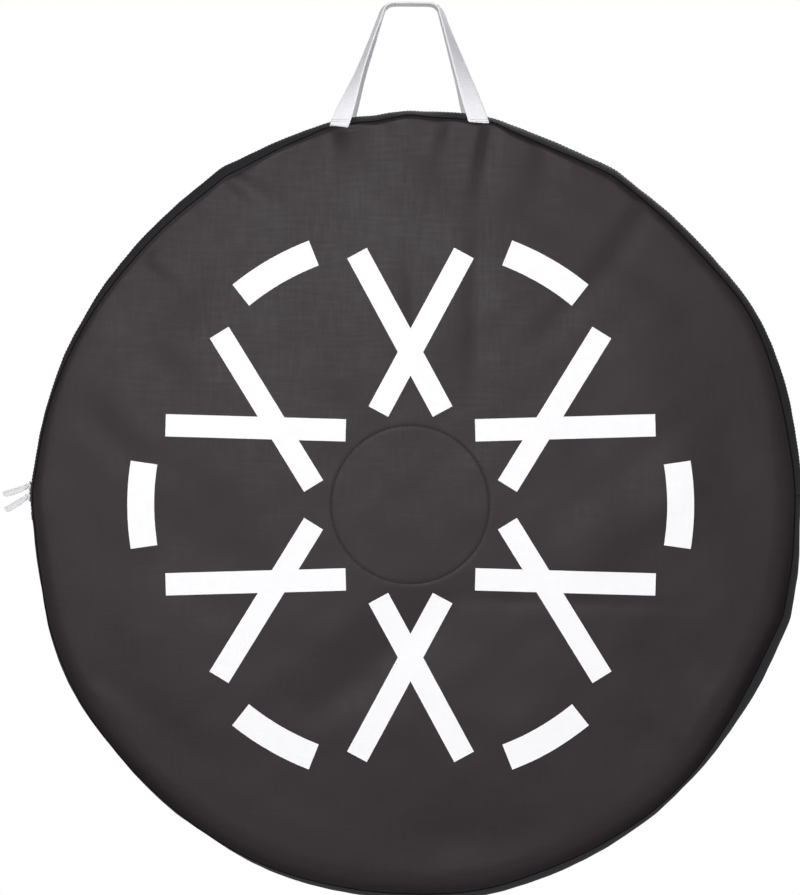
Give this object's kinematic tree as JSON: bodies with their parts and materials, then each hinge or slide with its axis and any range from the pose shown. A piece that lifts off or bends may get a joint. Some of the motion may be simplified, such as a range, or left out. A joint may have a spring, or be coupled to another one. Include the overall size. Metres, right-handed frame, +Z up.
{
  "type": "bike wheel bag",
  "caption": "Round padded fabric bag that holds one bicycle wheel, with a zip round the top half of its side band and a pair of webbing handles.",
  "frame": {"origin": "top of the two handles, where a hand or a hook takes the bag, midway between them", "axes": "+X to the right of the front, +Y from the front panel to the back panel, +Z up with the bag hanging by its handles"},
  "size_m": [0.7898, 0.104, 0.8679],
  "materials": {
    "panel_cloth": "matt woven polyester over thin foam",
    "band_cloth": "matt woven polyester",
    "lining_tape": "matt woven binding tape",
    "patch_vinyl": "matt coated sheet",
    "zip_tape": "matt woven tape",
    "zip_coil": "satin nylon coil",
    "webbing": "ribbed woven webbing",
    "slider_enamel": "satin enamel on zinc",
    "pull_rubber": "satin moulded rubber"
  },
  "bodies": {
    "bag": {"back_panel": "panel_cloth", "back_hub_patch": "patch_vinyl", "front_panel_lower": "panel_cloth", "front_hub_patch_lower": "patch_vinyl", "lower_gusset": "band_cloth", "rear_gusset_strip": "band_cloth", "front_strip_left_end": "band_cloth", "front_strip_right_end": "band_cloth", "rear_zip_tape": "zip_tape", "front_tape_left_end": "zip_tape", "front_tape_right_end": "zip_tape", "rear_zip_coil": "zip_coil", "front_coil_left_end": "zip_coil", "front_coil_right_end": "zip_coil", "left_zip_tab": "lining_tape", "right_zip_tab": "lining_tape", "front_binding_lower": "lining_tape", "back_binding": "lining_tape"},
    "front_flap": {"front_panel_upper": "panel_cloth", "front_hub_patch_upper": "patch_vinyl", "front_gusset_strip": "band_cloth", "front_zip_tape": "zip_tape", "front_zip_coil": "zip_coil", "front_binding_upper": "lining_tape"},
    "front_handle": {"front_handle": "webbing"},
    "rear_handle": {"rear_handle": "webbing"},
    "upper_slider": {"upper_slider": "slider_enamel"},
    "upper_pull": {"upper_pull": "pull_rubber"},
    "lower_slider": {"lower_slider": "slider_enamel"},
    "lower_pull": {"lower_pull": "pull_rubber"}
  },
  "joints": [
    {"name": "front_open", "type": "hinge", "parent": "bag", "child": "front_flap", "pos_m": [0, -0.052, -0.46011], "axis": [1, 0, 0], "range_deg": [0, 150]},
    {"name": "front_handle_swing", "type": "hinge", "parent": "front_flap", "child": "front_handle", "pos_m": [0, -0.0413, -0.12014], "axis": [1, 0, 0], "range_deg": [0, 180]},
    {"name": "rear_handle_swing", "type": "hinge", "parent": "bag", "child": "rear_handle", "pos_m": [0, 0.0413, -0.12014], "axis": [-1, 0, 0], "range_deg": [0, 180]},
    {"name": "upper_slider_run", "type": "hinge", "parent": "bag", "child": "upper_slider", "pos_m": [0, 0, -0.488], "axis": [0, 1, 0], "range_deg": [0, 174.5]},
    {"name": "upper_pull_swing", "type": "hinge", "parent": "upper_slider", "child": "upper_pull", "pos_m": [-0.38101, 0, -0.47072], "axis": [0, 1, 0], "range_deg": [-7, 86]},
    {"name": "lower_slider_run", "type": "hinge", "parent": "bag", "child": "lower_slider", "pos_m": [0, 0, -0.488], "axis": [0, 1, 0], "range_deg": [-1.51, 0]},
    {"name": "lower_pull_swing", "type": "hinge", "parent": "lower_slider", "child": "lower_pull", "pos_m": [-0.38133, 0, -0.48083], "axis": [0, 1, 0], "range_deg": [-30, 7]}
  ]
}
